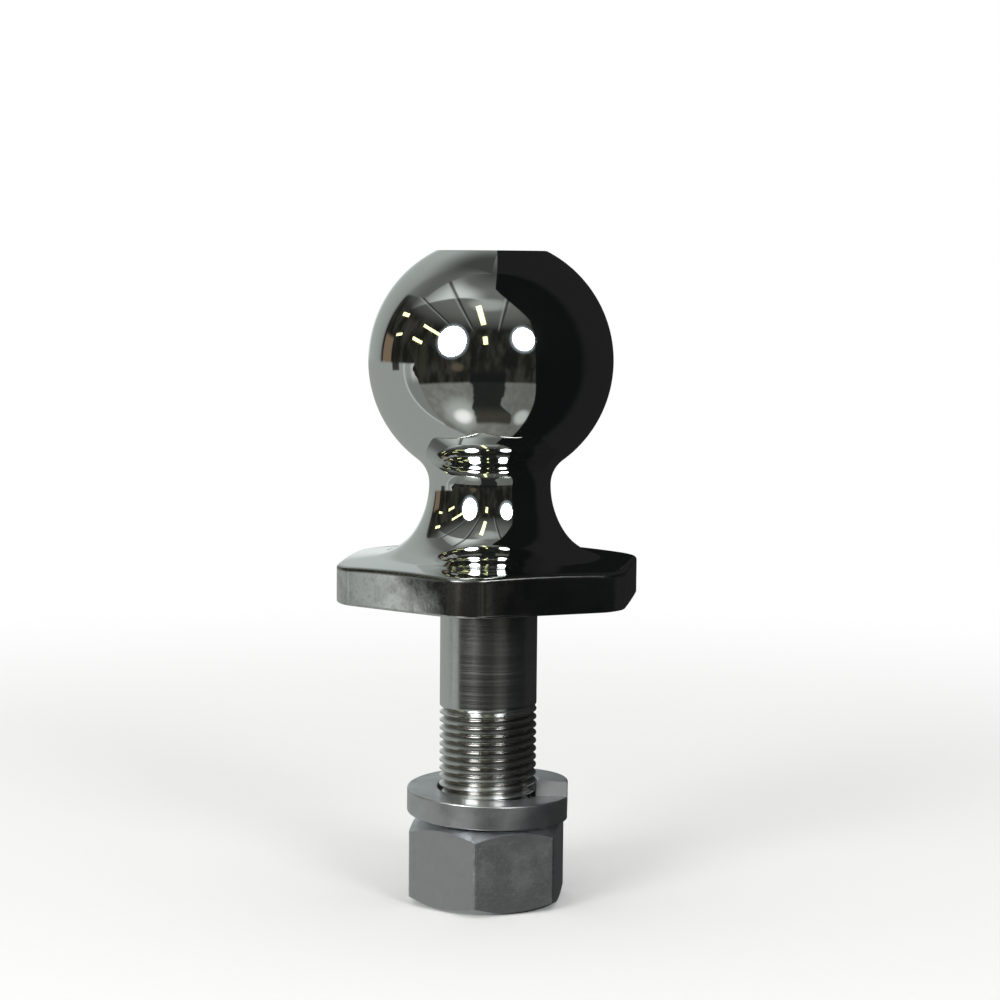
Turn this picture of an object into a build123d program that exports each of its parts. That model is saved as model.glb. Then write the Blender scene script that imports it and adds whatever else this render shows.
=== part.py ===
from build123d import *
import os
from math import atan2, cos, degrees, radians, sin, sqrt, tan

# Threaded tow ball, in millimetres.
# The ball, its neck, the hexagonal flange and the shank are one chromed forging. A spring lock
# washer and a hex nut on the shank hold it down on a hitch platform.
# +Z runs up through the ball. The origin is on the axis, in the underside of the flange, which is
# the face that sits on the platform.

# Ball, 1-7/8 in
ball_diameter = 47.625
top_flat_diameter = 21.2
top_flat_edge_radius = 0.8

# Neck, from the ball down to the flange
neck_diameter = 23.7
under_ball_radius = 6.05
upper_flare_radius = 17.0
upper_flare_turn = 33.0
lower_flare_radius = 10.75

# Hexagonal flange, turned so that two of its corners lie on the Y axis. Its top falls away outwards,
# and its thickness is the one at the middle of a side. Polishing has rolled its top edge over,
# which is a chamfer here.
flange_across_flats = 56.0
flange_thickness = 7.7
flange_top_slope = 6.0
flange_corner_radius = 7.5
flange_top_edge_chamfer = 0.7
flange_bottom_edge_chamfer = 0.5

# Shank, 3/4 in, plain under the flange and threaded 3/4-16 UNF to its end
shank_diameter = 19.05
shank_length = 60.0
shank_root_chamfer = 1.0
shank_end_chamfer = 1.6
thread_length = 40.0
thread_pitch = 1.5875

# Hex nut, the standard one for a 3/4 in thread: 1-1/8 in across the flats and 41/64 in high
nut_across_flats = 28.575
nut_height = 16.27
nut_face_diameter = 26.9
nut_chamfer_angle = 30.0
nut_countersink = 0.5
thread_clearance = 0.05

# Spring lock washer: one open turn of rectangular wire, wound left-handed
washer_wire_width = 6.12
washer_wire_thickness = 4.78
washer_clearance = 0.2
washer_spring_rise = 2.9
washer_split_width = 1.6
washer_split_slant = 18.0
washer_seat_clearance = 0.05

# A 60 degree thread is modelled here as the cylinder through the middle of its flanks, which
# leaves the metal of the shank and of the nut as much as the real threads have
thread_triangle_height = thread_pitch * sqrt(3) / 2
thread_pitch_diameter = shank_diameter - 0.75 * thread_triangle_height

# Ball centre: the round under the ball touches both the ball and the waist
ball_radius = ball_diameter / 2
neck_radius = neck_diameter / 2
under_ball_centre_radius = neck_radius + under_ball_radius
waist_drop = sqrt((ball_radius + under_ball_radius) ** 2 - under_ball_centre_radius**2)

# Flare: a wide round from the waist down, and a tighter one on into the slope of the flange's top
slope = radians(flange_top_slope)
turn = radians(upper_flare_turn)
flare_joint_radius = neck_radius + upper_flare_radius * (1 - cos(turn))
flare_rim_radius = flare_joint_radius + lower_flare_radius * (cos(turn) - sin(slope))
flare_rim_height = flange_thickness + (flange_across_flats / 2 - flare_rim_radius) * tan(slope)
flare_joint_height = flare_rim_height + lower_flare_radius * (cos(slope) - sin(turn))
waist_height = flare_joint_height + upper_flare_radius * sin(turn)
ball_centre_height = waist_height + waist_drop

# Rest places: the nut is run on until it is flush with the end of the shank, with the washer on it
nut_bottom = -shank_length
nut_top = nut_bottom + nut_height
plain_shank_length = shank_length - thread_length


def ball_and_neck():
    """The flat-topped ball, the round under it and the flare, revolved in one."""
    flat_radius = top_flat_diameter / 2
    flat_height = ball_centre_height + sqrt(ball_radius**2 - flat_radius**2)
    lower_flare_centre = (
        flare_joint_radius + lower_flare_radius * cos(turn),
        flare_joint_height + lower_flare_radius * sin(turn),
    )
    lower_flare_turn = 90 - upper_flare_turn - flange_top_slope
    core_height = flange_thickness / 2

    flat_angle = degrees(atan2(flat_height - ball_centre_height, flat_radius))
    touch_angle = degrees(atan2(waist_drop, under_ball_centre_radius))

    outline = Curve() + [
        Line((0, flat_height), (flat_radius, flat_height)),
        CenterArc((0, ball_centre_height), ball_radius, flat_angle, -flat_angle - touch_angle),
        CenterArc((under_ball_centre_radius, waist_height), under_ball_radius, 180 - touch_angle, touch_angle),
        CenterArc((neck_radius + upper_flare_radius, waist_height), upper_flare_radius, 180, upper_flare_turn),
        CenterArc(lower_flare_centre, lower_flare_radius, 180 + upper_flare_turn, lower_flare_turn),
        Polyline(
            (flare_rim_radius, flare_rim_height),
            (flare_rim_radius, core_height),
            (0, core_height),
            (0, flat_height),
        ),
    ]
    body = revolve(Plane.XZ * make_face(outline), Axis.Z)
    flat_rim = body.faces().sort_by(Axis.Z)[-1].edges()
    return fillet(flat_rim, top_flat_edge_radius)


def hex_flange():
    """The wrench flange: a hexagon with rounded corners, turned to a slope on top."""
    hexagon = RegularPolygon(flange_across_flats / 2, 6, major_radius=False, rotation=30)
    hexagon = fillet(hexagon.vertices(), flange_corner_radius)
    prism = extrude(hexagon, flare_rim_height)

    blank_radius = flange_across_flats
    blank_rim_height = flare_rim_height - (blank_radius - flare_rim_radius) * tan(slope)
    outline = Polyline(
        (0, 0),
        (blank_radius, 0),
        (blank_radius, blank_rim_height),
        (flare_rim_radius, flare_rim_height),
        (0, flare_rim_height),
        close=True,
    )
    flange = prism & revolve(Plane.XZ * make_face(outline), Axis.Z)
    sloping_top = flange.faces().filter_by(GeomType.CONE)[0]
    flange = chamfer(sloping_top.outer_wire().edges(), flange_top_edge_chamfer)
    return chamfer(flange.faces().sort_by(Axis.Z)[0].edges(), flange_bottom_edge_chamfer)


def shank():
    """The shank: its root, the plain stretch, a cone down to the thread, and the chamfered end."""
    shank_radius = shank_diameter / 2
    thread_radius = thread_pitch_diameter / 2
    core_height = flange_thickness / 2
    step = shank_radius - thread_radius

    outline = Polyline(
        (0, core_height),
        (shank_radius + shank_root_chamfer, core_height),
        (shank_radius + shank_root_chamfer, 0),
        (shank_radius, -shank_root_chamfer),
        (shank_radius, -plain_shank_length),
        (thread_radius, -plain_shank_length - step),
        (thread_radius, -shank_length + shank_end_chamfer),
        (thread_radius - shank_end_chamfer, -shank_length),
        (0, -shank_length),
        close=True,
    )
    return revolve(Plane.XZ * make_face(outline), Axis.Z)


def hex_nut():
    """The nut: a hexagonal prism, chamfered on both faces, bored and countersunk."""
    hexagon = RegularPolygon(nut_across_flats / 2, 6, major_radius=False, rotation=30)
    prism = extrude(hexagon, nut_height)

    face_radius = nut_face_diameter / 2
    blank_radius = nut_across_flats
    fall = (blank_radius - face_radius) * tan(radians(nut_chamfer_angle))
    chamfer_cone = Polyline(
        (0, 0), (face_radius, 0), (blank_radius, fall), (blank_radius, nut_height), (0, nut_height), close=True
    )
    lower_blank = revolve(Plane.XZ * make_face(chamfer_cone), Axis.Z)
    upper_blank = lower_blank.mirror(Plane.XY.offset(nut_height / 2))

    bore_radius = thread_pitch_diameter / 2 + thread_clearance
    mouth_radius = shank_diameter / 2 + nut_countersink
    mouth_depth = mouth_radius - bore_radius
    bore_outline = Polyline(
        (0, 0),
        (mouth_radius, 0),
        (bore_radius, mouth_depth),
        (bore_radius, nut_height - mouth_depth),
        (mouth_radius, nut_height),
        (0, nut_height),
        close=True,
    )
    bore = revolve(Plane.XZ * make_face(bore_outline), Axis.Z)
    nut = (prism & lower_blank & upper_blank) - bore
    return nut.moved(Location((0, 0, nut_bottom)))


def washer_coil(start_angle, end_angle):
    """The washer's wire between two angles about the axis, climbing as it goes round."""
    inner_radius = shank_diameter / 2 + washer_clearance
    path_radius = inner_radius + washer_wire_width / 2
    turned = (end_angle - start_angle) / 360
    path = Helix(washer_spring_rise, washer_spring_rise * turned, path_radius, lefthand=True)
    section = Plane(origin=path @ 0, x_dir=(1, 0, 0), z_dir=path % 0) * Rectangle(
        washer_wire_width, washer_wire_thickness
    )
    coil = sweep(section, path, is_frenet=True)
    return coil.moved(Location((0, 0, washer_spring_rise * start_angle / 360), (0, 0, -start_angle)))


def lock_washer():
    """The split ring: two halves of one turn, each trimmed along the slant of the split."""
    half_turn = 180
    overrun = half_turn / 10
    reach = washer_wire_width + washer_wire_thickness
    path_radius = shank_diameter / 2 + washer_clearance + washer_wire_width / 2

    split = Location((path_radius, 0, washer_spring_rise / 2), (washer_split_slant, 0, 0))
    side = Box(2 * reach, reach, 4 * reach, align=(Align.CENTER, Align.MIN, Align.CENTER))
    past_split = side.moved(Location((0, -washer_split_width / 2, 0)))
    before_split = past_split.rotate(Axis.Z, half_turn)

    lower_half = washer_coil(-overrun, half_turn) - past_split.moved(split)
    upper_half = washer_coil(half_turn, 2 * half_turn + overrun) - before_split.moved(split)
    ring = lower_half + upper_half
    lift = nut_top + washer_seat_clearance - ring.bounding_box().min.Z
    return ring.moved(Location((0, 0, lift)))


pieces = {
    "tow_ball": ball_and_neck() + hex_flange() + shank(),
    "lock_washer": lock_washer(),
    "hex_nut": hex_nut(),
}

os.makedirs("parts", exist_ok=True)
for name, piece in pieces.items():
    export_step(piece, f"parts/{name}.step")
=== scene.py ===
# %% [markdown]
# # A chromed tow ball, modelled and finished in Blender
#
# A tow ball is one steel forging: a ball, a neck that flares out into a hexagonal flange, and a
# shank with a thread. It is turned, polished and chromed, and a spring washer and a nut hold it
# down on a hitch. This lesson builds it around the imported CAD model, which fixes every size and
# place. The CAD model has no thread and only coarse facets, and a mirror shows both, so each of
# its three pieces is modelled again here, smoother and with its thread.

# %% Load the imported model
from math import asin, atan2, cos, pi, radians, sin, sqrt, tan

import bpy
from mathutils import Matrix, Vector


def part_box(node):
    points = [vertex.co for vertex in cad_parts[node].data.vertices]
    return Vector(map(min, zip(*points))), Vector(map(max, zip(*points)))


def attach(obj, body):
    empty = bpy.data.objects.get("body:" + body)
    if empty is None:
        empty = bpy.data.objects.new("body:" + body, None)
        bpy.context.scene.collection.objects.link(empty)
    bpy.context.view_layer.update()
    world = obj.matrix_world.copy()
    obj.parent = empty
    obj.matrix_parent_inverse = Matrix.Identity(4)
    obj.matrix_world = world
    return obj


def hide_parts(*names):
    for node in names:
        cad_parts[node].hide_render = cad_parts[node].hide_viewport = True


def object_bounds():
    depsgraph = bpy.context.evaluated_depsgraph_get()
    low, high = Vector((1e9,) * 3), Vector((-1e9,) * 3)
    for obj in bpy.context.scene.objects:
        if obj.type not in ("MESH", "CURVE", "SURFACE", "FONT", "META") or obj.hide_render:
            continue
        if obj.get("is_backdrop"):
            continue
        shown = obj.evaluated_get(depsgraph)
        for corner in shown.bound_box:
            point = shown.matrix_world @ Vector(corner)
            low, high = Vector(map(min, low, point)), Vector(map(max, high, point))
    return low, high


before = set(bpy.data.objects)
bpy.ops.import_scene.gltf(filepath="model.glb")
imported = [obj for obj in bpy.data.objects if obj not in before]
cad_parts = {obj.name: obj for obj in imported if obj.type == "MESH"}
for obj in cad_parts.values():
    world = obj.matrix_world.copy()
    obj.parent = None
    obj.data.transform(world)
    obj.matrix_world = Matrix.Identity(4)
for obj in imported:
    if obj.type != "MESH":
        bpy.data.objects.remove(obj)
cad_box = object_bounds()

scene = bpy.context.scene
MM = 0.001
weld_distance = 0.002 * MM

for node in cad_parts:
    low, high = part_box(node)
    print(node, [round(v / MM, 2) for v in low], [round(v / MM, 2) for v in high])

# %% [markdown]
# ## The sizes
#
# These are the sizes that the CAD model was drawn with, in millimetres until they are used. The
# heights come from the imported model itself: its flange sits on zero, and the end of its shank is
# the lowest point of the whole part.

# %% Sizes of the forging, the nut and the washer
ball_radius = 23.8125
top_flat_radius = 10.6
top_flat_round = 0.8
neck_radius = 11.85
under_ball_round = 6.05
upper_flare_round = 17.0
upper_flare_turn = radians(33)
lower_flare_round = 10.75

flange_across_flats = 56.0
flange_thickness = 7.7
flange_top_slope = radians(6)
flange_corner_round = 7.5
flange_top_round = 0.7
flange_bottom_round = 0.5
flange_bow = 0.0008

shank_radius = 9.525
shank_root_round = 1.0
shank_end_chamfer = 1.6
shank_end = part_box("tow_ball")[0].z / MM
plain_shank_end = -20.0

thread_pitch = 1.5875
thread_depth = 0.6134 * thread_pitch
thread_clearance = 0.05

nut_across_flats = 28.575
nut_face_radius = 13.45
nut_chamfer = radians(30)
nut_edge_round = 0.4
nut_countersink = 0.5
nut_bottom, nut_top = (corner.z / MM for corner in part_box("hex_nut"))

washer_inner_radius = 9.725
washer_wire_width = 6.12
washer_wire_thickness = 4.78
washer_rise = 2.9
washer_edge_round = 0.35
washer_split = 1.6
washer_slant = radians(18)

# %% [markdown]
# ## Tools for modelling
#
# Everything is drawn the way a lathe works. A single point is walked along half of a cross
# section, by extruding it for a straight run and spinning it for a round, and then the whole line
# is spun about the axis. Blender's edit-mode operators act on whatever is selected, so the first
# tools clear the selection, and the next ones select edges or faces by a rule on their place.

# %% Selecting and drawing
def deselect_everything():
    """Leave edit mode and let go of every object."""
    if bpy.context.object and bpy.context.object.mode != "OBJECT":
        bpy.ops.object.mode_set(mode="OBJECT")
    bpy.ops.object.select_all(action="DESELECT")


def take_up(piece):
    """Make one object the only selected and active one."""
    deselect_everything()
    piece.select_set(True)
    bpy.context.view_layer.objects.active = piece
    return piece


def start_picking(piece, kind):
    """Enter edit mode on edges or faces, with nothing selected."""
    take_up(piece)
    bpy.ops.object.mode_set(mode="EDIT")
    bpy.ops.mesh.select_mode(type=kind)
    bpy.ops.mesh.select_all(action="DESELECT")


def pick_edges(piece, rule, at_rim=False):
    """In edit mode, select the edges whose two ends fit a rule: all of them, or those at a rim."""
    start_picking(piece, "EDGE")
    if at_rim:
        bpy.ops.mesh.select_non_manifold(
            extend=False, use_wire=False, use_boundary=True, use_multi_face=False,
            use_non_contiguous=False, use_verts=False,
        )
    bpy.ops.object.mode_set(mode="OBJECT")
    corners = piece.data.vertices
    for edge in piece.data.edges:
        fits = rule(*(corners[i].co / MM for i in edge.vertices))
        edge.select = fits and (edge.select or not at_rim)
    bpy.ops.object.mode_set(mode="EDIT")


def pick_faces(piece, rule):
    """In edit mode, select the faces whose middle and normal fit a rule."""
    start_picking(piece, "FACE")
    bpy.ops.object.mode_set(mode="OBJECT")
    for face in piece.data.polygons:
        face.select = rule(face.center / MM, face.normal)
    bpy.ops.object.mode_set(mode="EDIT")


def between(low, high):
    """A rule for edges that lie between two heights in millimetres."""
    return lambda one, other: low <= min(one.z, other.z) and max(one.z, other.z) <= high


def start_line(name, radius, height):
    """A new object with one point, at a radius and a height in millimetres."""
    deselect_everything()
    bpy.ops.mesh.primitive_plane_add(size=MM)
    piece = bpy.context.object
    piece.name = name
    bpy.ops.object.mode_set(mode="EDIT")
    bpy.ops.mesh.select_mode(type="VERT")
    bpy.ops.mesh.select_all(action="SELECT")
    bpy.ops.mesh.merge(type="CENTER")
    bpy.ops.transform.translate(value=(radius * MM, 0, height * MM))
    return piece


def line_by(across, up):
    """Extrude the selected point by a step in millimetres."""
    bpy.ops.mesh.extrude_region_move(TRANSFORM_OT_translate={"value": (across * MM, 0, up * MM)})


def round_about(radius, height, turn, steps):
    """Spin the selected point about a centre, counter-clockwise for a positive turn."""
    bpy.ops.mesh.spin(
        steps=steps, angle=turn, center=(radius * MM, 0, height * MM), axis=(0, 1, 0)
    )


def finish_skin(weld=False):
    """Weld the skin if asked, turn its normals outwards and leave edit mode."""
    bpy.ops.mesh.select_all(action="SELECT")
    if weld:
        bpy.ops.mesh.remove_doubles(threshold=weld_distance)
    bpy.ops.mesh.normals_make_consistent(inside=False)
    bpy.ops.object.mode_set(mode="OBJECT")


def turn_on_lathe(steps):
    """Spin the drawn line once about the upright axis, and close its seam and its poles."""
    bpy.ops.mesh.select_all(action="SELECT")
    bpy.ops.mesh.spin(steps=steps, angle=2 * pi, center=(0, 0, 0), axis=(0, 0, 1))
    finish_skin(weld=True)


def apply_modifier(piece, kind, **settings):
    """Add a modifier, set it and apply it."""
    take_up(piece)
    modifier = piece.modifiers.new(kind.title(), kind)
    for name, value in settings.items():
        setattr(modifier, name, value)
    bpy.ops.object.modifier_apply(modifier=modifier.name)


def cut_with(piece, tool, operation):
    """Combine two closed meshes and throw the tool away."""
    apply_modifier(piece, "BOOLEAN", operation=operation, solver="EXACT", object=tool)
    bpy.data.objects.remove(tool)


def tell(piece):
    """Print how large a piece is and whether its skin is closed."""
    mesh = piece.data
    uses = {}
    for face in mesh.polygons:
        for key in face.edge_keys:
            uses[key] = uses.get(key, 0) + 1
    open_edges = sum(count != 2 for count in uses.values())
    triangles = sum(len(face.vertices) - 2 for face in mesh.polygons)
    size = [round(v / MM, 2) for v in piece.dimensions]
    print(piece.name, size, "mm,", triangles, "triangles,", open_edges, "open edges")


# %% [markdown]
# ## Ball, neck and flare
#
# The ball is 1-7/8 in across, with a flat turned on its top. Under the ball a small round leads
# into the narrow waist, and two larger ones flare out into the top of the flange, which falls away
# by six degrees. Two rounds that touch share a tangent, so each arc starts where the one before it
# ends, and only the angles have to be worked out.

# %% Work out where the rounds touch
under_centre = neck_radius + under_ball_round
waist_drop = sqrt((ball_radius + under_ball_round) ** 2 - under_centre**2)

# The thickness of the flange is the one at the middle of a side
flange_half = flange_across_flats / 2
flare_joint = neck_radius + upper_flare_round * (1 - cos(upper_flare_turn))
flare_rim = flare_joint + lower_flare_round * (cos(upper_flare_turn) - sin(flange_top_slope))
flare_rim_height = flange_thickness + (flange_half - flare_rim) * tan(flange_top_slope)
joint_drop = cos(flange_top_slope) - sin(upper_flare_turn)
joint_height = flare_rim_height + lower_flare_round * joint_drop
waist_height = joint_height + upper_flare_round * sin(upper_flare_turn)
ball_height = waist_height + waist_drop
flat_height = ball_height + sqrt(ball_radius**2 - top_flat_radius**2)

edge_centre_height = flat_height - top_flat_round
edge_centre = sqrt((ball_radius - top_flat_round) ** 2 - (edge_centre_height - ball_height) ** 2)
edge_angle = atan2(edge_centre_height - ball_height, edge_centre)
touch_angle = atan2(waist_drop, under_centre)
print("ball centre", round(ball_height, 2), "mm, flat top", round(flat_height, 2), "mm up")

# %% Turn the ball, the neck and the flare
ball_steps = 256
upper = start_line("tow_ball_upper", 0, flat_height)
line_by(edge_centre, 0)
round_about(edge_centre, edge_centre_height, edge_angle - pi / 2, 6)
round_about(0, ball_height, -edge_angle - touch_angle, 96)
round_about(under_centre, waist_height, touch_angle, 28)
round_about(neck_radius + upper_flare_round, waist_height, upper_flare_turn, 20)
round_about(
    flare_joint + lower_flare_round * cos(upper_flare_turn),
    joint_height + lower_flare_round * sin(upper_flare_turn),
    pi / 2 - upper_flare_turn - flange_top_slope,
    26,
)
sloping = flange_half - flange_top_round - 0.1 - flare_rim
line_by(sloping, -sloping * tan(flange_top_slope))
turn_on_lathe(ball_steps)
tell(upper)

# %% [markdown]
# ## The flange
#
# The flange is a hexagonal prism with its corners and its upper edge rounded over by polishing. A
# six-sided cylinder gives the prism with two corners on the Y axis, and bevels make the rounds.
# Its two flat ends are taken off again, because the flare and the shank grow out of them. Its
# upper edge is moved down towards the corners, to follow the slope of the top, and its sides are
# bowed by a tenth of a millimetre or two, as a forging's are, which a mirror shows very well.

# %% Make a hexagonal prism, for the flange and for the nut
def hexagonal_prism(name, across_flats, low, high, edge_offset, edge_steps):
    """A prism between two heights, with two corners on the Y axis and its upright edges beveled."""
    deselect_everything()
    bpy.ops.mesh.primitive_cylinder_add(
        vertices=6,
        radius=across_flats / 2 / cos(pi / 6) * MM,
        depth=(high - low) * MM,
        location=(0, 0, (low + high) / 2 * MM),
    )
    prism = bpy.context.object
    prism.name = prism.data.name = name
    bpy.ops.object.transform_apply(location=True, rotation=True, scale=True)
    pick_edges(prism, lambda one, other: abs(one.z - other.z) > 1)
    bpy.ops.mesh.bevel(offset=edge_offset * MM, segments=edge_steps, affect="EDGES")
    bpy.ops.object.mode_set(mode="OBJECT")
    return prism


# %% Round and slope the flange
corner_offset = flange_corner_round * tan(pi / 6)
flange = hexagonal_prism(
    "tow_ball_flange", flange_across_flats, 0, flange_thickness, corner_offset, 16
)
pick_edges(flange, lambda one, other: (one.xy - other.xy).length > flange_corner_round)
bpy.ops.mesh.subdivide(number_cuts=13)

for height, rounding, steps in (
    (flange_thickness, flange_top_round, 8), (0, flange_bottom_round, 4),
):
    pick_edges(flange, between(height - 0.01, height + 0.01))
    bpy.ops.mesh.bevel(offset=rounding * MM, segments=steps, affect="EDGES")
pick_faces(flange, lambda middle, normal: abs(normal.z) > 0.999)
bpy.ops.mesh.delete(type="ONLY_FACE")
bpy.ops.object.mode_set(mode="OBJECT")
for corner in flange.data.vertices:
    radius = corner.co.xy.length / MM
    along = radius * sin((atan2(corner.co.y, corner.co.x) + pi / 6) % (pi / 3) - pi / 6)
    corner.co.xy *= 1 - flange_bow * along**2 / radius
    if corner.co.z > flange_thickness / 2 * MM:
        corner.co.z -= (corner.co.xy.length - flange_half * MM) * tan(flange_top_slope)
tell(flange)

# %% [markdown]
# ## The thread
#
# The lower 40 mm of the shank carries a 3/4-16 thread: a ridge with 60 degree sides that climbs
# 1.5875 mm in each turn. One pitch of its outline, carried round and up by the Screw modifier and
# merged with the turn above it, gives the whole thread. The nut gets the same helix, so the two
# mesh at every angle of the nut. The rolled thread dies out below the plain shank, and the end of
# the shank is chamfered so that the nut starts on it.

# %% One outline for both threads
thread_steps = 96
flat_crest = thread_pitch / 8
flank_run = thread_depth * tan(pi / 6)
root_length = thread_pitch - flat_crest - 2 * flank_run

# A rolled thread's root is hollow: steps inwards and outwards, with their shares of its length
hollow_root = ((-0.06, 0.2), (-0.02, 0.3), (0.02, 0.3), (0.06, 0.2))
hollow_depth = 0.08


def screw_thread(name, crest, root, start, turns):
    """A right-hand threaded rod, without ends, from a start height up through some turns."""
    half_depth, half_run = (root - crest) / 2, flank_run / 2
    rod = start_line(name, crest, start - flat_crest / 2)
    line_by(0, flat_crest)
    line_by(half_depth, half_run)
    line_by(half_depth, half_run)
    for across, share in hollow_root:
        line_by(across, root_length * share)
    line_by(-half_depth, half_run)
    line_by(-half_depth, half_run)
    bpy.ops.object.mode_set(mode="OBJECT")
    apply_modifier(
        rod, "SCREW", axis="Z", angle=2 * pi, screw_offset=thread_pitch * MM, iterations=turns,
        steps=thread_steps, render_steps=thread_steps, use_merge_vertices=True,
        merge_threshold=weld_distance,
    )
    take_up(rod)
    bpy.ops.object.mode_set(mode="EDIT")
    bpy.ops.mesh.select_all(action="SELECT")
    bpy.ops.mesh.remove_doubles(threshold=weld_distance)
    bpy.ops.object.mode_set(mode="OBJECT")
    return rod


def saw_off(piece, height, keep_above):
    """Cut a piece level at a height in millimetres and close the cut."""
    take_up(piece)
    bpy.ops.object.mode_set(mode="EDIT")
    bpy.ops.mesh.select_all(action="SELECT")
    bpy.ops.mesh.bisect(
        plane_co=(0, 0, height * MM), plane_no=(0, 0, 1), use_fill=True,
        clear_inner=keep_above, clear_outer=not keep_above, threshold=0.0005 * MM,
    )
    finish_skin()


# %% Thread the shank
root_radius = shank_radius - thread_depth
thread_start = shank_end - 2 * thread_pitch
thread_turns = int((plain_shank_end - thread_start) / thread_pitch) + 1
rod = screw_thread(
    "shank_thread", shank_radius, root_radius + hollow_depth, thread_start, thread_turns
)

fade_top, fade_bottom = plain_shank_end - 0.4, plain_shank_end - 2.4
for corner in rod.data.vertices:
    part = min(max((corner.co.z / MM - fade_bottom) / (fade_top - fade_bottom), 0), 1)
    part = part * part * (3 - 2 * part)
    radius = corner.co.xy.length / MM
    corner.co.xy *= (radius + (shank_radius - radius) * part) / radius
saw_off(rod, plain_shank_end, keep_above=False)
saw_off(rod, shank_end - thread_pitch, keep_above=True)

chamfer_radius = shank_radius - 0.75 * thread_pitch * sqrt(3) / 4 - shank_end_chamfer
envelope = start_line("shank_envelope", 0, shank_end)
line_by(chamfer_radius, 0)
line_by(shank_radius + 1 - chamfer_radius, shank_radius + 1 - chamfer_radius)
line_by(0, 50)
line_by(-shank_radius - 1, 0)
turn_on_lathe(2 * thread_steps)
cut_with(rod, envelope, "INTERSECT")
tell(rod)

# %% Turn the plain shank and its root
collar = start_line("shank_root", shank_radius + shank_root_round, 0)
round_about(shank_radius + shank_root_round, -shank_root_round, pi / 2, 8)
line_by(0, plain_shank_end + 0.6 + shank_root_round)
turn_on_lathe(thread_steps)

# %% [markdown]
# ## One forging
#
# The real ball, flange and shank are one lump of steel, so the three meshes are joined and the
# rings between them are filled: a flat face round the flare, another round the shank's root, and
# a narrow band where the plain shank meets the thread.

# %% Join and close the forging
pick_faces(rod, lambda middle, normal: abs(normal.z) > 0.99 and middle.z > plain_shank_end - 0.05)
bpy.ops.mesh.delete(type="FACE")
bpy.ops.object.mode_set(mode="OBJECT")

take_up(upper)
for part in (flange, collar, rod):
    part.select_set(True)
bpy.ops.object.join()
forging = bpy.context.object
forging.name = forging.data.name = "tow_ball_forging"

for low, high in ((flange_thickness - 0.5, flange_thickness + 0.5), (-0.01, 0.01)):
    pick_edges(forging, between(low, high), at_rim=True)
    bpy.ops.mesh.fill(use_beauty=True)
pick_edges(forging, between(plain_shank_end - 0.1, plain_shank_end + 0.7), at_rim=True)
bpy.ops.mesh.bridge_edge_loops()
finish_skin()
tell(forging)

# %% [markdown]
# ## The nut
#
# A hexagonal prism is turned at both ends to a 30 degree chamfer, which leaves the curved edges
# that every nut has. Here the prism gets its upright edges broken with a bevel, is cut to the
# shape of a turned barrel, and then a threaded rod, a little thicker than the shank for clearance,
# is taken out of it. A cone at each end opens the mouth of the thread.

# %% Cut the nut
nut = hexagonal_prism(
    "nut_threaded", nut_across_flats, nut_bottom - 1, nut_top + 1, nut_edge_round, 4
)
nut_height = nut_top - nut_bottom
reach = 5
fall = reach * tan(nut_chamfer)
barrel = start_line("nut_barrel", 0, nut_bottom)
line_by(nut_face_radius, 0)
line_by(reach, fall)
line_by(0, nut_height - 2 * fall)
line_by(-reach, fall)
line_by(-nut_face_radius, 0)
turn_on_lathe(144)
cut_with(nut, barrel, "INTERSECT")

# %% Thread the nut
mouth_radius = shank_radius + nut_countersink
bore_radius = shank_radius - 0.5413 * thread_pitch
tap = screw_thread(
    "nut_tap", shank_radius + thread_clearance, bore_radius - 0.04, thread_start, thread_turns
)

# The nut's crests are flat, so the part of the tap that is deeper than its bore moves out to it
for corner in tap.data.vertices:
    radius = corner.co.xy.length / MM
    if radius < bore_radius:
        corner.co.xy *= bore_radius / radius
saw_off(tap, nut_bottom - 1.1, keep_above=True)
saw_off(tap, nut_top + 1.1, keep_above=False)
cut_with(nut, tap, "DIFFERENCE")

outside, cone = 1, 2.4
for end, inwards in ((nut_bottom, 1), (nut_top, -1)):
    mouth = start_line("nut_mouth", 0, end - outside * inwards)
    line_by(mouth_radius + outside, 0)
    line_by(-cone, cone * inwards)
    line_by(cone - outside - mouth_radius, 0)
    turn_on_lathe(thread_steps)
    cut_with(nut, mouth, "DIFFERENCE")
tell(nut)

# %% [markdown]
# ## The spring washer
#
# A spring washer is one turn of square-edged wire, cut through on a slant, whose two ends stand
# apart until the nut is drawn up. It is wound left-handed, so that the ends bite when the nut
# would turn back. The wire's section goes round with the Screw modifier, its end rings are slid
# round to the slant of the cut, and then they are closed.

# %% Wind the washer
washer_low, washer_high = (corner.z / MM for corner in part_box("lock_washer"))
washer_middle = (washer_low + washer_high) / 2
middle_radius = washer_inner_radius + washer_wire_width / 2
half_width = washer_wire_width / 2 - washer_edge_round
half_thickness = washer_wire_thickness / 2 - washer_edge_round
gap_angle = washer_split / 2 / middle_radius
wound = 2 * pi - 2 * gap_angle
washer_steps = 120

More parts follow.
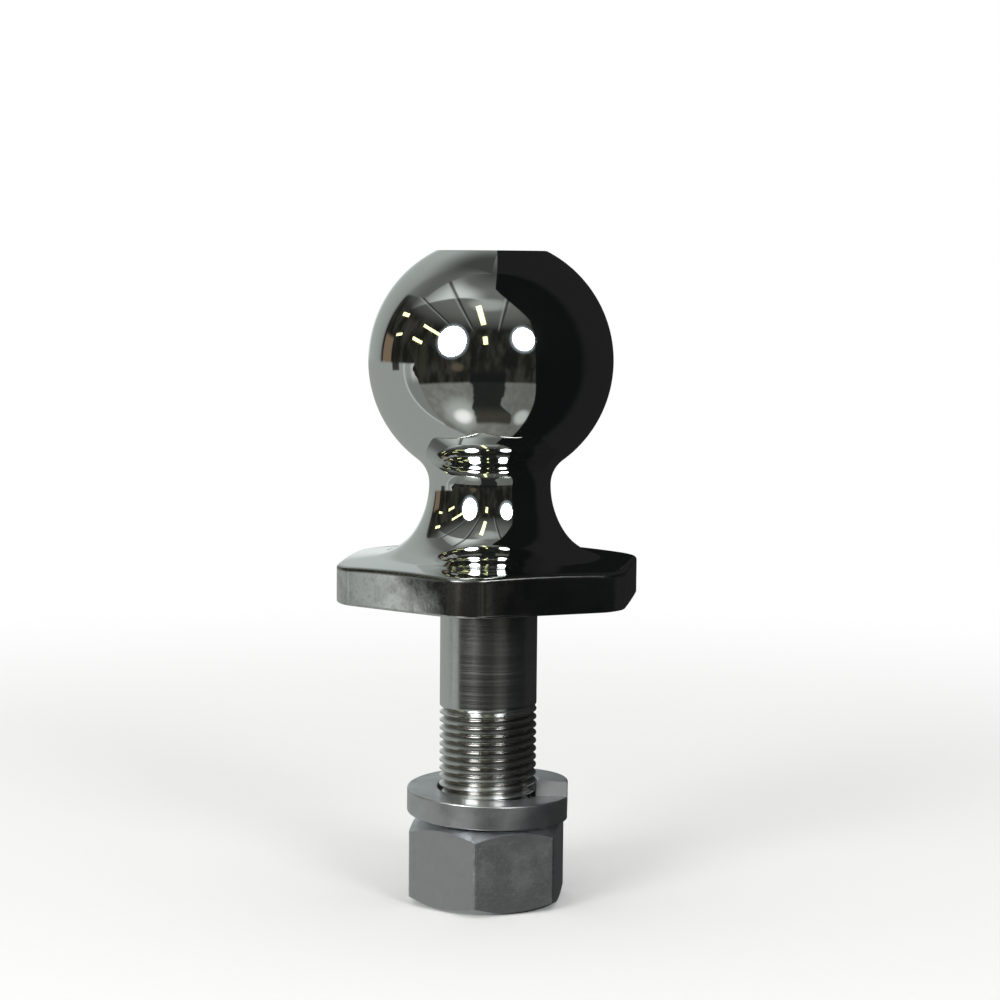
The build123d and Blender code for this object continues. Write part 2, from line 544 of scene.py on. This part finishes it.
low_side = -half_thickness - washer_edge_round
washer = start_line("washer_split", middle_radius - half_width, low_side)
for across, up, start in ((1, 0, -1), (0, 1, 0), (-1, 0, 1), (0, -1, 2)):
    line_by(2 * half_width * across, 2 * half_thickness * up)
    centre = (
        middle_radius + half_width * (1 if start in (-1, 0) else -1),
        half_thickness * (1 if start in (0, 1) else -1),
    )
    round_about(*centre, pi / 2, 4)
bpy.ops.mesh.select_all(action="SELECT")
bpy.ops.mesh.remove_doubles(threshold=weld_distance)
bpy.ops.transform.rotate(value=gap_angle, orient_axis="Z", center_override=(0, 0, 0))
bpy.ops.object.mode_set(mode="OBJECT")
washer.data.name = "washer_split"
apply_modifier(
    washer, "SCREW", axis="Z", angle=-wound, screw_offset=washer_rise * wound / (2 * pi) * MM,
    steps=washer_steps, render_steps=washer_steps, use_merge_vertices=False,
)

# %% Slant and close its ends
slide_reach = radians(35)
slant_centre = washer_rise / 2
for corner in washer.data.vertices:
    x, y, z = corner.co / MM
    radius = sqrt(x * x + y * y)
    turned = -atan2(y, x) % (2 * pi)
    for end, side in ((gap_angle, -1), (2 * pi - gap_angle, 1)):
        away = abs(turned - end) / slide_reach
        if away < 1:
            across_cut = side * washer_split / 2 - (z - slant_centre) * sin(washer_slant)
            cut_at = asin(across_cut / cos(washer_slant) / radius)
            slide = (-cut_at - end + pi) % (2 * pi) - pi
            turned += slide * (1 - away)
            break
    corner.co.xy = Vector((cos(turned), -sin(turned))) * radius * MM

lowest = min(corner.co.z for corner in washer.data.vertices)
highest = max(corner.co.z for corner in washer.data.vertices)
lift = washer_middle * MM - (lowest + highest) / 2
for corner in washer.data.vertices:
    corner.co.z += lift

for side in (1, -1):
    pick_edges(washer, lambda one, other: (one.y + other.y) * side > 0, at_rim=True)
    bpy.ops.mesh.edge_face_add()
finish_skin()
tell(washer)

# %% [markdown]
# ## Shading the skin
#
# A mirror shows every facet, so the skin is shaded smooth wherever two faces meet at a small
# angle, and stays sharp at the crests of the thread and the corners of the nut. The Weighted
# Normal modifier then lets the large flat faces keep their own direction, so that a bevel beside
# them doesn't bend what they mirror.

# %% Smooth shading
for piece, sharp_angle in ((forging, 28), (nut, 24), (washer, 40)):
    take_up(piece)
    bpy.ops.object.shade_smooth_by_angle(angle=radians(sharp_angle))
    apply_modifier(piece, "WEIGHTED_NORMAL", keep_sharp=True, weight=50)

# %% [markdown]
# ## Writing finishes as sums
#
# A finish is a small sum: this much roughness, plus a little where the skin is forged. The class
# Signal wraps a socket so that such sums can be written in Python, and each operator adds one Math
# node. Every other node comes from one method of Bench, which sets the node up and then fills or
# links its sockets.

# %% Sockets that can be added up
class Signal:
    """One output socket, usable in a Python sum."""

    def __init__(self, bench, socket):
        self.bench, self.socket = bench, socket

    def of(self, name):
        """Another output of the same node."""
        return Signal(self.bench, self.socket.node.outputs[name])

    def maths(self, operation, *terms):
        """One Math node, whose terms are sockets or numbers."""
        return self.bench.node("Math", {"operation": operation}, dict(enumerate(terms)))

    def __add__(self, other):
        return self.maths("ADD", self, other)

    def __radd__(self, other):
        return self.maths("ADD", other, self)

    def __sub__(self, other):
        return self.maths("SUBTRACT", self, other)

    def __rsub__(self, other):
        return self.maths("SUBTRACT", other, self)

    def __mul__(self, other):
        return self.maths("MULTIPLY", self, other)

    def __rmul__(self, other):
        return self.maths("MULTIPLY", other, self)

    def __truediv__(self, other):
        return self.maths("DIVIDE", self, other)

    def __pow__(self, other):
        return self.maths("POWER", self, other)

    def __neg__(self):
        return self.maths("MULTIPLY", self, -1)

    def __abs__(self):
        return self.maths("ABSOLUTE", self)

    def __or__(self, other):
        """The larger of two masks."""
        return self.maths("MAXIMUM", self, other)

    def rising(self, start, end):
        """0 up to one value, 1 from the other on, and a soft step between; it may also fall."""
        return self.bench.node(
            "MapRange", {"interpolation_type": "SMOOTHSTEP"},
            {"Value": self, "From Min": start, "From Max": end},
        )

    def rising_mm(self, start, end):
        """The same step, between two values in millimetres."""
        return self.rising(start * MM, end * MM)


class Bench:
    """The nodes of one material or of the world."""

    def __init__(self, owner):
        owner.use_nodes = True
        self.tree = owner.node_tree
        self.tree.nodes.clear()

    def node(self, kind, settings=None, sockets=None, out=0):
        """Set a node up, fill or link its sockets, and give back one of its outputs."""
        made = self.tree.nodes.new("ShaderNode" + kind)
        for name, value in (settings or {}).items():
            if name == "stops":
                stops = made.color_ramp.elements
                while len(stops) < len(value):
                    stops.new(1)
                for stop, (place, colour) in zip(stops, value):
                    stop.position, stop.color = place, (*colour, 1)
            else:
                setattr(made, name, value)
        for name, value in (sockets or {}).items():
            if isinstance(value, Signal):
                self.tree.links.new(value.socket, made.inputs[name])
            else:
                made.inputs[name].default_value = value
        return Signal(self, made.outputs[out]) if made.outputs else made

    def blend(self, share, first, second):
        """Mix two colours: the first at 0, the second at 1."""
        first, second = (c if isinstance(c, Signal) else (*c, 1) for c in (first, second))
        return self.node("Mix", {"data_type": "RGBA"}, {0: share, 6: first, 7: second}, out=2)

    def ramp(self, angle, stops):
        """A colour that runs through stops, each at an angle from 0 to 90 degrees."""
        stops = [(place / 90, colour) for place, colour in stops]
        return self.node("ValToRGB", {"stops": stops}, {"Fac": angle / 90})

    def noise(self, place, scale, detail=2.0, roughness=0.5):
        sockets = {"Vector": place, "Scale": scale, "Detail": detail, "Roughness": roughness}
        return self.node("TexNoise", {}, sockets)

    def stretched(self, place, scale):
        """The same place, with each axis scaled by itself."""
        return self.node("Mapping", {}, {"Vector": place, "Scale": scale})


def new_finish(name):
    """A material with an empty bench, and the place of the shaded point on its piece."""
    material = bpy.data.materials.new(name)
    bench = Bench(material)
    place = bench.node("TexCoord", out="Object")
    return material, bench, place


def finish_metal(bench, colour, roughness, height, depth):
    """The metal shader at the end of every finish here, with its bump."""
    bump = bench.node("Bump", {}, {"Strength": 1.0, "Distance": depth, "Height": height})
    metal = bench.node(
        "BsdfPrincipled", {},
        {"Base Color": colour, "Metallic": 1.0, "Roughness": roughness, "Normal": bump},
    )
    bench.node("OutputMaterial", {}, {"Surface": metal})


# %% [markdown]
# ## Chrome on a forging
#
# The whole forging is chromed, and the chrome shows what is under it. The ball, the neck and the
# top of the flange are polished to a mirror with a faint wave in it. The sides of the flange keep
# the lumpy skin of the forging die, and the shank is only turned, so both look duller. Masks from
# the place on the piece, in metres, choose between the three.

# %% The chromed forging
chrome, bench, place = new_finish("chromed_forging")
axes = bench.node("SeparateXYZ", {}, {"Vector": place})
x, y, z = axes, axes.of("Y"), axes.of("Z")
radius = (x * x + y * y) ** 0.5

# The height that a point would have if the top of the flange were level
levelled = z + (radius - flange_half * MM) * tan(flange_top_slope)
below_top = levelled.rising_mm(flange_thickness - 0.05, flange_thickness - 0.4)
rolled_edge = below_top * levelled.rising_mm(flange_thickness - 1.1, flange_thickness - 0.6)
forged_side = radius.rising_mm(24, 26) * below_top
at_corner = radius.rising_mm(30.2, 30.7)
underside = z.rising_mm(0.3, 0.05) * z.rising_mm(-0.7, -0.2)
forged = forged_side | underside
shank = z.rising_mm(-0.6, -1.2)
in_thread = z.rising_mm(plain_shank_end - 1, plain_shank_end - 2)
thread_root = in_thread * radius.rising_mm(shank_radius - 0.25, root_radius + 0.1)

# Noises on the skin, each with about so many waves in a metre
wave = bench.noise(place, 130, 1.0)
smudge = bench.noise(place, 60, 4.0, 0.65)
lumps = bench.noise(place, 330, 3.0, 0.6)
sway = bench.noise(place, 75, 1.0)
pits = bench.noise(place, 1500, 2.0, 0.6)
turning = bench.noise(bench.stretched(place, (30, 30, 4200)), 1.0, 2.0, 0.7)

# The chrome is stained where it is forged, and darker in the thread's root
stain = forged * (pits.rising(0.45, 0.75) * 0.4 + lumps.rising(0.45, 0.65) * 0.3)
colour = bench.blend(stain, (0.80, 0.815, 0.805), (0.42, 0.42, 0.40))
# Painted reflection: the rolled edge under the top of the forged sides is coloured near black,
# standing in for the dark room that it mirrors
colour = bench.blend(forged * rolled_edge * 0.85, colour, (0.09, 0.09, 0.085))
colour = bench.blend(thread_root, colour, (0.40, 0.39, 0.37))
mirror_roughness = 0.035
roughness = (
    mirror_roughness
    + smudge.rising(0.45, 0.8) * 0.035
    + forged * (0.01 + lumps.rising(0.3, 0.7) * 0.05 + rolled_edge * 0.15 + at_corner * 0.05)
    + shank * (0.14 + turning.rising(0.3, 0.8) * 0.10)
)
forged_skin = (sway - 0.5) * 0.35 + (lumps - 0.5) * 0.02 + (pits - 0.5) * 0.006
height = wave * 0.10 + forged * forged_skin + shank * turning * 0.10
finish_metal(bench, colour, roughness, height, 0.14 * MM)
print(chrome.name, len(bench.tree.nodes), "nodes")

# %% [markdown]
# ## Zinc on the nut and the washer
#
# The nut and the washer are plain steel with bright zinc on them. Zinc is softer to the eye than
# chrome: it spreads a light into a sheen, is a little bluish, and is clouded where it was handled.
# The washer's wire is sheared off at the split, which leaves two dull grey faces there.

# %% The zinc plate
zinc, bench, place = new_finish("bright_zinc")
clouds = bench.noise(place, 160, 4.0, 0.6)
grain = bench.noise(place, 2600, 2.0, 0.6)
strokes = bench.noise(bench.stretched(place, (300, 300, 2400)), 1.0, 2.0, 0.6)
axes = bench.node("SeparateXYZ", {}, {"Vector": place})
x, y, z = axes, axes.of("Y"), axes.of("Z")
from_cut = y * cos(washer_slant) + (z - (slant_centre * MM + lift)) * sin(washer_slant)
sheared = abs(from_cut).rising_mm(washer_split / 2 + 0.1, washer_split / 2 + 0.05)
sheared = sheared * x.rising_mm(0, 1) * z.rising_mm(nut_top, nut_top + 0.04)
colour = bench.blend(clouds.rising(0.35, 0.7), (0.76, 0.78, 0.80), (0.66, 0.675, 0.69))
colour = bench.blend(sheared, colour, (0.26, 0.265, 0.27))
roughness = 0.32 + clouds.rising(0.4, 0.75) * 0.10 + grain.rising(0.45, 0.8) * 0.08
roughness = roughness + sheared * 0.25
height = grain * 0.35 + strokes * 0.35 + clouds * 0.5
finish_metal(bench, colour, roughness, height, 0.04 * MM)
print(zinc.name, len(bench.tree.nodes), "nodes")

# %% Dress the pieces and hand them to their bodies
for piece, material, slot, node, body in (
    (forging, chrome, "polished_chrome", "tow_ball", "ball"),
    (washer, zinc, "zinc_plate", "lock_washer", "washer"),
    (nut, zinc, "zinc_plate", "hex_nut", "nut"),
):
    piece.data.materials.clear()
    piece.data.materials.append(material)
    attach(piece, body)
    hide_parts(node)

# %% [markdown]
# ## The camera
#
# The picture was taken from half a metre away, from just above the ball's flat top, looking
# slightly down on a corner of the flange.

# %% Place the camera
picture_width = 1000
focal_pixels = 2525
camera_distance, camera_height = 0.4907, 0.06535
camera_turn, camera_aim = radians(8.1), radians(-0.232)
camera_pitch, camera_roll = radians(-5.379), radians(0.501)

camera_x, camera_y = camera_distance * sin(camera_turn), -camera_distance * cos(camera_turn)
bpy.ops.object.camera_add(location=(camera_x, camera_y, camera_height))
camera = bpy.context.object
camera.data.sensor_width = 36
camera.data.lens = camera.data.sensor_width * focal_pixels / picture_width
camera.data.clip_start = 0.01
turn = Matrix.Rotation(camera_turn + camera_aim, 4, "Z")
tilt = Matrix.Rotation(pi / 2 + camera_pitch, 4, "X") @ Matrix.Rotation(camera_roll, 4, "Z")
camera.matrix_world = Matrix.Translation(camera.location) @ turn @ tilt
scene.camera = camera
scene.view_settings.view_transform = "Standard"

# %% [markdown]
# ## The studio
#
# Chrome has hardly a colour of its own: it is a picture of the room. The room here is a pale cloth
# behind the part and to its left, a sheet of paper on the left of a grey floor, a dark workshop in
# front with two round lamps and some tubes, and a black screen on the right. Only mirrored rays
# see that room. The camera sees white, and everything matt gets the same soft light from all round.

# %% Two round lamps and some tubes
ball_centre = Vector((0, 0, ball_height * MM))


def towards(azimuth, elevation):
    """A direction in degrees. Azimuth 0 is the camera's side, and it grows to the right."""
    a, e = radians(azimuth) + camera_turn, radians(elevation)
    return Vector((sin(a) * cos(e), -cos(a) * cos(e), sin(e)))


def add_lamp(name, place, shape, size, radiance, colour, length=None, along=None):
    """A lamp that faces the ball and looks as bright as it is told to."""
    data = bpy.data.lights.new(name, "AREA")
    data.shape, data.size, data.color = shape, size, colour
    area = pi * size * size / 4
    if length:
        data.size_y, area = length, size * length
    data.energy = radiance * pi * area
    lamp = bpy.data.objects.new(name, data)
    scene.collection.objects.link(lamp)
    back = (place - ball_centre).normalized()
    up = (along or Vector((0, 0, 1))).normalized()
    across = up.cross(back).normalized()
    lamp.matrix_world = Matrix.Translation(place) @ Matrix(
        (across, back.cross(across), back)
    ).transposed().to_4x4()
    return lamp


# Each round lamp has an azimuth, an elevation and its size at one metre
lamp_radiance = 9
for name, azimuth, elevation, size in (
    ("lamp_left", -37.6, 18.2, 0.465), ("lamp_right", 31.5, 21.0, 0.35),
):
    place = ball_centre + towards(azimuth, elevation)
    add_lamp(name, place, "DISK", size, lamp_radiance, (1, 1, 1))

# Each tube runs from one direction to another, and has a width in degrees
tube_distance, tube_radiance, tube_colour = 1.5, 2.2, (1, 1, 0.50)
for number, (start, end, width) in enumerate((
    ((-18, 53), (-8, 35), 4.4),
    ((-6, 24), (-5, 17), 4.0),
    ((-73, 27), (-50, 22), 2.2),
    ((-81, 16), (-69, 14), 2.4),
    ((-108, 26), (-98, 28), 2.3),
    ((-104, 14), (-96, 16), 1.6),
)):
    ends = [ball_centre + towards(*corner) * tube_distance for corner in (start, end)]
    middle, along = (ends[0] + ends[1]) / 2, ends[1] - ends[0]
    add_lamp(
        f"tube_{number}", middle, "RECTANGLE", tube_distance * radians(width), tube_radiance,
        tube_colour, length=along.length, along=along,
    )

# %% The room that the chrome mirrors
world = bpy.data.worlds.new("studio")
scene.world = world
bench = Bench(world)
direction = bench.node("TexCoord", out="Generated")
direction = bench.node("Mapping", {}, {"Vector": direction, "Rotation": (0, 0, -camera_turn)})
axes = bench.node("SeparateXYZ", {}, {"Vector": direction})
azimuth = axes.maths("ARCTAN2", axes, -axes.of("Y")) * (180 / pi)
elevation = axes.maths("ARCSINE", axes.of("Z")) * (180 / pi)

# The azimuth runs from -185 to 175, so that the cloth has no seam behind the part
azimuth = azimuth - azimuth.rising(174.99, 175.0) * 360


def spot(at_azimuth, at_elevation, wide, high, core=0.35):
    """A soft patch around a direction: 1 in its middle and 0 from its rim on."""
    a, e = (azimuth - at_azimuth) / wide, (elevation - at_elevation) / high
    return (a * a + e * e).rising(1, core)


# The workshop in front: dark and cluttered, with a few lighter things in it
clutter = bench.noise(bench.stretched(direction, (1, 1, 0.4)), 8.0, 3.0, 0.55).rising(0.35, 0.8)
room = bench.blend(clutter, (0.012, 0.012, 0.010), (0.050, 0.048, 0.041))
room = bench.blend(spot(-67, 2, 5, 20, 0) * 0.8, room, (0.034, 0.036, 0.022))
room = bench.blend(spot(-31, -4, 8, 5, 0) * 0.8, room, (0.120, 0.095, 0.065))

# Its ceiling, with a pale panel that ends in a sharp lower edge, and beams
ceiling = bench.ramp(elevation, (
    (28, (0.018, 0.018, 0.016)),
    (34, (0.060, 0.061, 0.056)),
    (42, (0.118, 0.123, 0.111)),
    (50, (0.150, 0.157, 0.145)),
    (58, (0.150, 0.158, 0.148)),
    (70, (0.160, 0.168, 0.155)),
    (79, (0.110, 0.115, 0.105)),
    (88, (0.070, 0.074, 0.068)),
))
ceiling = bench.blend(spot(-4, 55, 36, 8, 0) * 0.7, ceiling, (0.46, 0.49, 0.46))
from_middle = azimuth + 30
panel = (elevation - (59 - from_middle * from_middle * 0.0055)).rising(-0.5, 1.5)
panel = panel * azimuth.rising(-108, -62) * azimuth.rising(0, -50) * elevation.rising(74, 60)
ceiling = bench.blend(panel, ceiling, (0.66, 0.70, 0.67))
across = axes / axes.of("Z")
for beam in (-1.10, -0.53, 0.27):
    dark, pale = abs(across - beam), abs(across - beam + 0.04)
    ceiling = bench.blend(pale.rising(0.035, 0.01) * 0.4, ceiling, (0.42, 0.45, 0.43))
    ceiling = bench.blend(dark.rising(0.035, 0.015) * 0.8, ceiling, (0.02, 0.02, 0.02))
room = bench.blend(elevation.rising(27, 35), room, ceiling)

# The glow round each lamp, with its reach in degrees
for lamp_azimuth, lamp_elevation, reach in ((-37.8, 18.4, 17), (31.5, 21.0, 13.6)):
    glow = spot(lamp_azimuth, lamp_elevation, reach / cos(radians(lamp_elevation)), reach, 0.4)
    room = bench.blend(glow * 0.6, room, (0.62, 0.74, 0.80))

# The pale cloth on the left and behind, which leans over the part as it goes up
cloth = bench.ramp(azimuth + 180, (
    (0, (0.375, 0.405, 0.39)),
    (20, (0.385, 0.415, 0.40)),
    (38, (0.345, 0.37, 0.355)),
    (50, (0.30, 0.32, 0.305)),
    (60, (0.170, 0.180, 0.170)),
    (75, (0.12, 0.125, 0.12)),
))
cloth = bench.blend(spot(-180, 6, 26, 18, 0) * 0.8, cloth, (0.53, 0.575, 0.56))
cloth = bench.blend(spot(-176, -2, 16, 11, 0.2) * 0.8, cloth, (0.85, 0.90, 0.88))
overhead = bench.blend(azimuth.rising(-140, -92), (0.060, 0.064, 0.060), (0.135, 0.142, 0.132))
cloth = bench.blend(elevation.rising(37, 70), cloth, overhead)
cloth_edge = -124 + elevation.rising(30, 46) * 30
room = bench.blend((azimuth - cloth_edge).rising(1, -3), room, cloth)

# A brown box stands against it
box_side = azimuth.rising(-122, -120) * azimuth.rising(-106, -108) * elevation.rising(-14, -12)
box_colour = bench.blend(elevation.rising(-1, -4), (0.20, 0.145, 0.10), (0.27, 0.235, 0.225))
room = bench.blend(box_side * elevation.rising(13, 10), room, box_colour)

# The floor: bare and grey in front, with the lamps' pools on it and dark stands between them
grey = bench.noise(direction, 9.0, 4.0, 0.6).rising(0.3, 0.75)
bare = bench.blend(grey, (0.165, 0.173, 0.155), (0.235, 0.245, 0.220))
bare = bench.blend(azimuth.rising(0, 30) * 0.35, bare, (0.08, 0.085, 0.075))
bare = bench.blend(spot(-36, -47, 26, 20, 0), bare, (0.42, 0.445, 0.42))
bare = bench.blend(spot(-35, -49, 15, 9, 0), bare, (1.0, 1.0, 0.97))
bare = bench.blend(spot(40, -49, 12, 9, 0.1) * 0.9, bare, (0.55, 0.58, 0.55))
room = bench.blend(elevation.rising(-16, -19), room, bare)
waver = azimuth + (bench.noise(direction, 4.0, 2.0) - 0.5) * 14 + elevation.rising(-22, -40) * 3
feet = elevation.rising(-38, -50)
stands = waver.rising(-19, -16) * (waver - feet * 16).rising(16, 13) * elevation.rising(-60, -55)
stand_colour = bench.blend(feet, (0.011, 0.012, 0.012), (0.046, 0.043, 0.034))
room = bench.blend(stands * elevation.rising(0, -12) * 0.95, room, stand_colour)

# A sheet of paper on the left of the floor, with its edge folded up into a strip
pinch = elevation.rising(-14, -9) * 2.4 + elevation.rising(-8.1, -7.2) * 1.05
inner_edge = -75.5 - elevation * 0.17 - pinch * elevation.rising(-1, -6)
fold = elevation + 10
fold_edge = fold * fold * 0.0125 - 90
upper_strip = bench.blend(azimuth.rising(-82, -78), (0.31, 0.325, 0.31), (0.53, 0.55, 0.53))
strip = bench.blend(elevation.rising(-17, -9), (0.220, 0.233, 0.217), upper_strip)
strip = bench.blend(abs(azimuth - fold_edge).rising(3.5, 1.0), strip, (0.50, 0.53, 0.51))
paper = bench.blend((azimuth - fold_edge).rising(0.5, -0.5), strip, (0.325, 0.345, 0.33))
paper_side = (azimuth - (inner_edge | fold_edge)).rising(0.35, -0.35) * elevation.rising(-1, -3)
gap = azimuth.rising(-106, -104) * azimuth.rising(-94, -96) * elevation.rising(-7, -6)
room = bench.blend(paper_side * (1 - gap * 0.95), room, paper)

# The black screen on the right, whose edge leans over the part as well
lean = (elevation - 37) | 0
screen_edge = 42 + elevation.rising(-3, -42) * 5.5 + elevation.rising(10, 30) * 1.5
screen_edge = screen_edge - lean * (lean * 0.012 + 0.55)
screen_side = (azimuth - screen_edge).rising(-0.6, 0.6) | azimuth.rising(-178, -179)
height = axes.of("Z")
screen_side = screen_side * (axes - height * height * 0.056).rising(0.0015, 0.0035)
screen = bench.blend(azimuth.rising(90, 104), (0.0060, 0.0064, 0.0066), (0.0150, 0.0155, 0.0150))
room = bench.blend(screen_side, room, screen)

# Mirrored rays see the room, the camera sees white, and everything else gets an even light
ray = bench.node("LightPath", out="Is Camera Ray")
mirrored = bench.node("Background", {}, {"Color": room, "Strength": 1.0})
matt = bench.node("Background", {}, {"Color": (1, 1, 1, 1), "Strength": 0.72})
white = bench.node("Background", {}, {"Color": (1, 1, 1, 1), "Strength": 1.0})
lit = bench.node("MixShader", {}, {0: ray.of("Is Glossy Ray"), 1: matt, 2: mirrored})
seen = bench.node("MixShader", {}, {0: ray, 1: lit, 2: white})
bench.node("OutputWorld", {}, {"Surface": seen})
print(world.name, len(bench.tree.nodes), "nodes")

# %% A pale floor, which mirrored rays pass through and which fades to white further out
floor_gap = 0.02
deselect_everything()
bpy.ops.mesh.primitive_circle_add(
    vertices=96, radius=4, fill_type="NGON", location=(0, 0, (shank_end - floor_gap) * MM)
)
floor = bpy.context.object
floor.name = "floor"
pale, bench, place = new_finish("pale_floor")
axes = bench.node("SeparateXYZ", {}, {"Vector": place})
x, y = axes, axes.of("Y")
away = (x * x + y * y) ** 0.5
ray = bench.node("LightPath", out="Is Camera Ray")
matt = bench.node("BsdfDiffuse", {}, {"Color": (0.93, 0.93, 0.93, 1)})
white = bench.node("Emission", {}, {"Color": (1, 1, 1, 1), "Strength": 1.0})
clear = bench.node("BsdfTransparent", {}, {"Color": (1, 1, 1, 1)})
seen = bench.node("MixShader", {}, {0: away.rising(0.10, 0.45) * ray, 1: matt, 2: white})
seen = bench.node("MixShader", {}, {0: ray.of("Is Glossy Ray"), 1: seen, 2: clear})
bench.node("OutputMaterial", {}, {"Surface": seen})
floor.data.materials.append(pale)
floor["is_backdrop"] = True

# %% Check the sizes and finish
visual_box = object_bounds()
for label, box in (("CAD box", cad_box), ("visual box", visual_box)):
    print(label, [[round(v / MM, 2) for v in corner] for corner in box])
